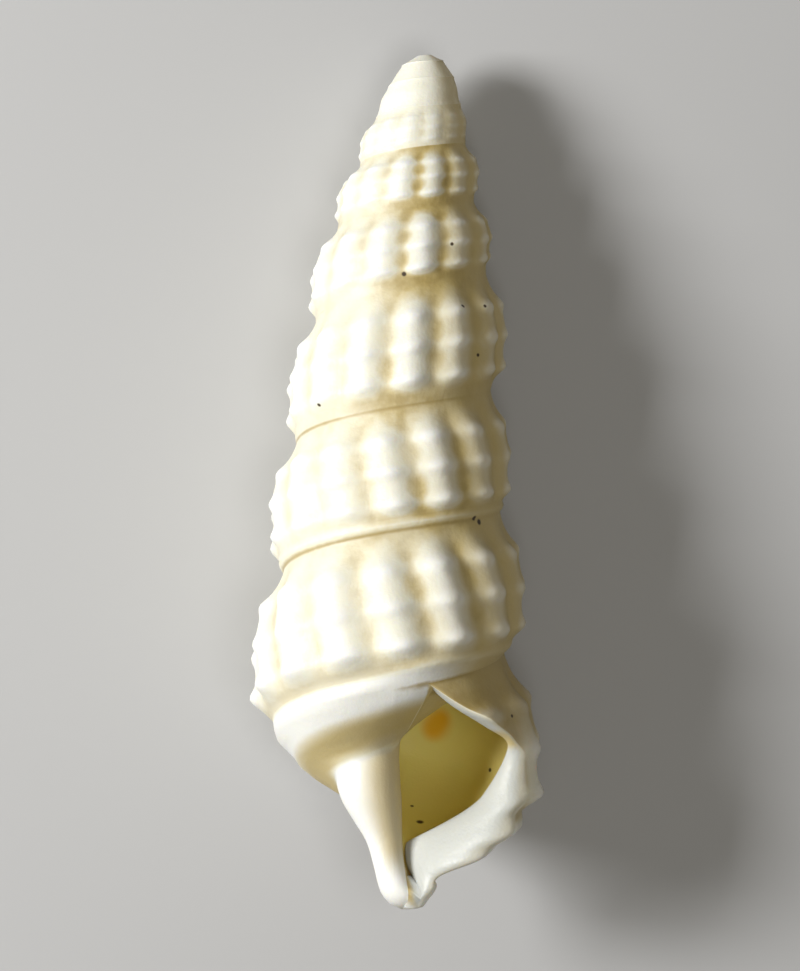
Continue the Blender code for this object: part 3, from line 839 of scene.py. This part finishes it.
def shell_colour(graph, colours, place, grain):
    """Colour by the surface's own measures, and how far each place is a crest.

    Crests are white, walls cream and low places ochre from sediment and painted shade, the
    shade weaker on the lit left and full on the front and right; the deepest pits are darker
    still. Then come painted shade along the sutures, over the right side, in the crease under
    the white band of the base, on the pillar's side beside the mouth and on the shoulder
    above it, painted shade that turns the lip grey, and painted light inside the mouth.
    """
    blotch = graph.step(graph.noise(place, BLOTCHES_PER_MM / MM, BLOTCH_DETAIL), *BLOTCH_EDGE)
    fray = grain - 0.5
    pillar = graph.attribute("pillar")
    depth = graph.attribute("depth")
    turn = graph.node('ShaderNodeSeparateXYZ', None,
                      {0: graph.node('ShaderNodeUVMap', {"uv_map": PLACE_MAP})}, "X")
    drop = turn.output("Y")
    facing = graph.node('ShaderNodeMath', {"operation": 'COSINE'}, {0: turn * (2 * math.pi)})
    outside = 1.0 - graph.step(depth, *OUTSIDE_DEPTHS)

    band = graph.between(drop, BAND_TOP, BAND_FOOT) * graph.step(turn, *LAST_TURN) * outside
    height = graph.attribute("height") + fray * HEIGHT_FRAY + band + pillar
    crest = graph.step(height, *CREST_HEIGHTS)
    colour = graph.mix(crest, colours.wall, colours.crest)
    # The low places are ochre from sediment and painted shade; the shade is weaker on the lit left
    groove_shade = GROOVE_SHADE_LEAST + (1 - GROOVE_SHADE_LEAST) * graph.step(facing, *GROOVE_SHADE_SIDE)
    low = (1.0 - graph.step(height, *LOW_HEIGHTS)) * outside * groove_shade
    colour = graph.mix(low * (LOW_LEAST + BLOTCH_SHARE * blotch), colour, colours.groove_and_shade)
    # The deepest pits are darker still: sediment and painted shade
    pit = (1.0 - graph.step(height, *PIT_HEIGHTS)) * outside * groove_shade
    colour = graph.mix(pit * (PIT_LEAST + BLOTCH_SHARE * blotch), colour, colours.stain_and_shade)
    # Painted shade along the sutures
    seam = graph.step(graph.attribute("seam") + fray * SEAM_FRAY, *SEAM_NEARNESS)
    colour = graph.mix(seam * SEAM_SHADE_STRENGTH, colour, colours.stain_and_shade)

    # Painted shade over the right side, which faces away from the light
    flank_shade = graph.step(facing + fray * FLANK_SHADE_FRAY, *SHADED_FLANK_SIDE) * outside
    flank_shade = flank_shade * (FLANK_SHADE_STRENGTH - FLANK_SHADE_CREST_LESS * crest)
    colour = graph.mix(flank_shade * (1.0 - FLANK_SHADE_PILLAR_LESS * pillar), colour, colours.groove_and_shade)
    # Painted shade in the crease under the white band
    crease = graph.between(drop, CREASE_TOP, CREASE_FOOT) * outside * (1.0 - pillar)
    colour = graph.mix(crease * CREASE_SHADE_STRENGTH, colour, colours.groove_and_shade)
    # Painted shade on the pillar's side towards the mouth
    along = graph.node('ShaderNodeSeparateXYZ', None, {0: place}, "Y")
    above_tip = graph.step(along, *(end * MM for end in PILLAR_SHADE_ALONG))
    pillar_shade = graph.step(facing, *PILLAR_SHADE_SIDE) * (1.0 - graph.step(turn, *PILLAR_SHADE_TURNS))
    pillar_shade = pillar_shade * pillar * above_tip * outside
    colour = graph.mix(pillar_shade * PILLAR_SHADE_STRENGTH, colour, colours.groove_and_shade)
    # Painted shade on the shoulder above the lip
    shoulder = graph.step(turn, *SHOULDER_SHADE_TURNS) * (1.0 - graph.step(drop, *SHOULDER_SHADE_FOOT))
    colour = graph.mix(shoulder * outside * SHOULDER_SHADE_STRENGTH, colour, colours.stain_and_shade)

    colour = graph.mix(graph.step(depth, *EDGE_DEPTHS), colour, colours.groove_and_shade)
    # Painted shade in a notch of the lip keeps the lip's grey out
    slit_shade = graph.between(drop, SLIT_SHADE_TOP, SLIT_SHADE_FOOT)
    rim = graph.step(graph.attribute("rim"), *RIM_SHARES) * (1.0 - SLIT_SHADE_STRENGTH * slit_shade)
    # Painted shade: the lip's grey is a darker copy of the white
    colour = graph.mix(rim, colour, colours.lip)
    # Painted light inside the mouth, standing for the glow through the thin wall
    colour = graph.mix(graph.step(depth, *INSIDE_DEPTHS), colour, colours.inside)
    return colour, crest


def shell_material(colours, marks):
    """Chalky shell: the colour, a dull gloss and fine growth lines and grain in the bump."""
    graph = Graph("chalky_shell")
    place = graph.node('ShaderNodeTexCoord', None, None, "Object")
    grain = graph.noise(place, GRAINS_PER_MM / MM, GRAIN_DETAIL)
    colour, crest = shell_colour(graph, colours, place, grain)
    for centre, radius, shade, edge in marks:
        near = graph.closeness(place, centre, radius, edge)
        colour = graph.mix(near, colour, shade)
    growth = graph.node('ShaderNodeUVMap', {"uv_map": PLACE_MAP})
    lines = graph.noise(growth * (LINES_PER_TURN, LINES_PER_DROP, 0.0), 1.0, LINE_DETAIL)
    pores = graph.noise(place, PORES_PER_MM / MM, PORE_DETAIL)
    relief = LINE_SHARE * lines + GRAIN_SHARE * grain + PORE_SHARE * pores
    normal = graph.node('ShaderNodeBump', None, {"Strength": BUMP_STRENGTH,
                                                 "Distance": BUMP_HEIGHT * MM, "Height": relief})
    roughness = colours.roughness + (pores - 0.5) * DULL_PORES - POLISHED_CREST * crest
    surface = graph.surface.inputs
    graph.put(surface["Base Color"], colour)
    graph.put(surface["Roughness"], roughness)
    graph.put(surface["Normal"], normal)
    graph.put(surface["Subsurface Weight"], GLOW)
    graph.put(surface["Subsurface Radius"], GLOW_COLOURS)
    graph.put(surface["Subsurface Scale"], GLOW_DEPTH * MM)
    return graph.material


def colour_property(name, description, default):
    """Colour that a user can choose, as linear red, green and blue."""
    return bpy.props.FloatVectorProperty(name=name, description=description, default=default,
                                         size=3, min=0.0, max=1.0, subtype='COLOR')


class ShellSizes(bpy.types.PropertyGroup):
    relief: bpy.props.FloatProperty(
        name="Relief", description="Height of a bead as a share of its whorl's height",
        default=0.075, min=0.0, max=0.2, subtype='FACTOR')
    ribs: bpy.props.FloatProperty(
        name="Ribs", description="Height of a rib as a share of the relief",
        default=0.62, min=0.0, max=1.5, subtype='FACTOR')
    beads: bpy.props.FloatProperty(
        name="Beads", description="Height of a bead above its rib as a share of the relief",
        default=0.30, min=0.0, max=1.0, subtype='FACTOR')


class ShellColours(bpy.types.PropertyGroup):
    crest: colour_property("Crests", "Worn crests and pillar", (0.84, 0.84, 0.79))
    wall: colour_property("Wall", "Surface between crests and grooves", (0.80, 0.78, 0.65))
    # Ochre of sediment in the low places; it also serves as painted shade over the right side, in
    # the crease and on the pillar's side
    groove_and_shade: colour_property("Grooves", "Low places between the ribs", (0.56, 0.44, 0.18))
    # Sediment in the deepest pits, and painted shade along the sutures and on the shoulder above
    # the lip
    stain_and_shade: colour_property("Stain", "Deepest pits, sutures and the crease of the base",
                           (0.36, 0.26, 0.08))
    # Painted shade: the lip's grey is a darker copy of the white crests
    lip: colour_property("Lip", "Thick edge of the mouth", (0.50, 0.51, 0.47))
    # Painted light: the bright yellow stands for light shining through the thin wall
    inside: colour_property("Inside", "Wall deep inside the mouth", (0.90, 0.79, 0.24))
    # Painted shade: the orange is the deep shade where the hollow winds up behind the pillar
    spot: colour_property("Spot", "Rusty spot inside the mouth", (0.90, 0.50, 0.02))
    speck: colour_property("Specks", "Dark grains stuck to the surface", (0.05, 0.03, 0.012))
    roughness: bpy.props.FloatProperty(
        name="Roughness", description="Dullness of the surface",
        default=0.5, min=0.0, max=1.0, subtype='FACTOR')


class StageSettings(bpy.types.PropertyGroup):
    floor: colour_property("Floor", "Colour of the floor", (0.5, 0.5, 0.5))
    key: bpy.props.FloatProperty(
        name="Key light", description="Power of the light from the left",
        default=0.0255, min=0.0, unit='POWER')
    fill: bpy.props.FloatProperty(
        name="Fill light", description="Power of the light beside the camera",
        default=0.0052, min=0.0, unit='POWER')
    world: bpy.props.FloatProperty(
        name="World", description="Strength of the light from all sides", default=0.12, min=0.0)


def found_marks(surface, shift, colours):
    """Centre, radius, colour and edge softness of the dark specks and the painted deep shade."""
    tree = BVHTree.FromPolygons(surface.points.tolist(), surface.faces)
    matrix = camera_matrix(shift)
    marks = []
    for group, colour, edge in ((SPECKS, colours.speck, SPECK_EDGE),
                                (SHADE_SPOTS, colours.spot, SHADE_SPOT_EDGE)):
        for across, down, radius in group:
            place = place_behind((across, down), matrix, tree)
            marks.append((place, radius * MM, colour, edge))
    return marks


class SHELL_OT_shell(bpy.types.Operator):
    """Builds the shell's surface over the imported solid"""
    bl_idname = "shell.shell"
    bl_label = "Shell"

    def execute(self, context):
        surface, shift = shell_surface(context.scene.shell_sizes)
        piece = mesh_object("shell_surface", surface)
        colours = context.scene.shell_colours
        marks = found_marks(surface, shift, colours)
        piece.data.materials.append(shell_material(colours, marks))
        context.scene["shell_shift"] = list(shift)
        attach(piece, "root")
        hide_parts("shell")
        return {'FINISHED'}


def add_lamp(name, power, size, location):
    """Square area light that points at the origin."""
    light = bpy.data.lights.new(name, 'AREA')
    light.energy = power
    light.size = size
    lamp = bpy.data.objects.new(name, light)
    lamp.location = location
    lamp.rotation_euler = (-Vector(location)).to_track_quat('-Z', 'Y').to_euler()
    bpy.context.collection.objects.link(lamp)


def add_floor(colour):
    """Plain square floor at height 0."""
    data = bpy.data.meshes.new("floor")
    data.from_pydata([(-FLOOR, -FLOOR, 0), (FLOOR, -FLOOR, 0), (FLOOR, FLOOR, 0),
                      (-FLOOR, FLOOR, 0)], [], [(0, 1, 2, 3)])
    floor = bpy.data.objects.new("floor", data)
    bpy.context.collection.objects.link(floor)
    graph = Graph("pale_floor")
    graph.put(graph.surface.inputs["Base Color"], colour)
    graph.put(graph.surface.inputs["Roughness"], FLOOR_ROUGHNESS)
    data.materials.append(graph.material)


def add_camera(matrix):
    """Camera of the picture, with a long lens."""
    camera = bpy.data.objects.new("camera", bpy.data.cameras.new("camera"))
    camera.data.lens = LENS
    camera.data.sensor_width = SENSOR
    camera.data.clip_start = CLIP_START
    camera.matrix_world = matrix
    bpy.context.collection.objects.link(camera)
    bpy.context.scene.camera = camera


class SHELL_OT_stage(bpy.types.Operator):
    """Adds the floor, the lights and the camera"""
    bl_idname = "shell.stage"
    bl_label = "Stage"

    def execute(self, context):
        scene = context.scene
        settings = scene.shell_stage
        add_floor(settings.floor)
        add_lamp("key", settings.key, KEY_SIZE, KEY_PLACE)
        add_lamp("fill", settings.fill, FILL_SIZE, FILL_PLACE)
        scene.world = bpy.data.worlds.new("world")
        scene.world.use_nodes = True
        sky = scene.world.node_tree.nodes["Background"]
        sky.inputs["Color"].default_value = WORLD_COLOUR
        sky.inputs["Strength"].default_value = settings.world
        add_camera(camera_matrix(Vector(scene["shell_shift"])))
        scene.view_settings.view_transform = 'Standard'
        return {'FINISHED'}


class SHELL_PT_panel(bpy.types.Panel):
    """Sizes, colours and light of the shell, and the steps that build it"""
    bl_idname = "SHELL_PT_panel"
    bl_label = "Turreted Shell"
    bl_space_type = 'VIEW_3D'
    bl_region_type = 'UI'
    bl_category = "Shell"

    def draw(self, context):
        for title, name, step in STEPS:
            box = self.layout.box()
            box.label(text=title)
            settings = getattr(context.scene, name)
            for key in settings.__annotations__:
                box.prop(settings, key)
            if step:
                box.operator(step)


STEPS = (("Sizes", "shell_sizes", None), ("Colours", "shell_colours", "shell.shell"),
         ("Stage", "shell_stage", "shell.stage"))
CLASSES = (ShellSizes, ShellColours, StageSettings, SHELL_OT_shell, SHELL_OT_stage,
           SHELL_PT_panel)


def register():
    for item in CLASSES:
        bpy.utils.register_class(item)
    bpy.types.Scene.shell_sizes = bpy.props.PointerProperty(type=ShellSizes)
    bpy.types.Scene.shell_colours = bpy.props.PointerProperty(type=ShellColours)
    bpy.types.Scene.shell_stage = bpy.props.PointerProperty(type=StageSettings)


def unregister():
    del bpy.types.Scene.shell_sizes
    del bpy.types.Scene.shell_colours
    del bpy.types.Scene.shell_stage
    for item in reversed(CLASSES):
        bpy.utils.unregister_class(item)


def main():
    """Builds the shell and the stage."""
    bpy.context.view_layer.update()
    register()
    bpy.ops.shell.shell()
    bpy.ops.shell.stage()


if __name__ == "__main__":
    main()
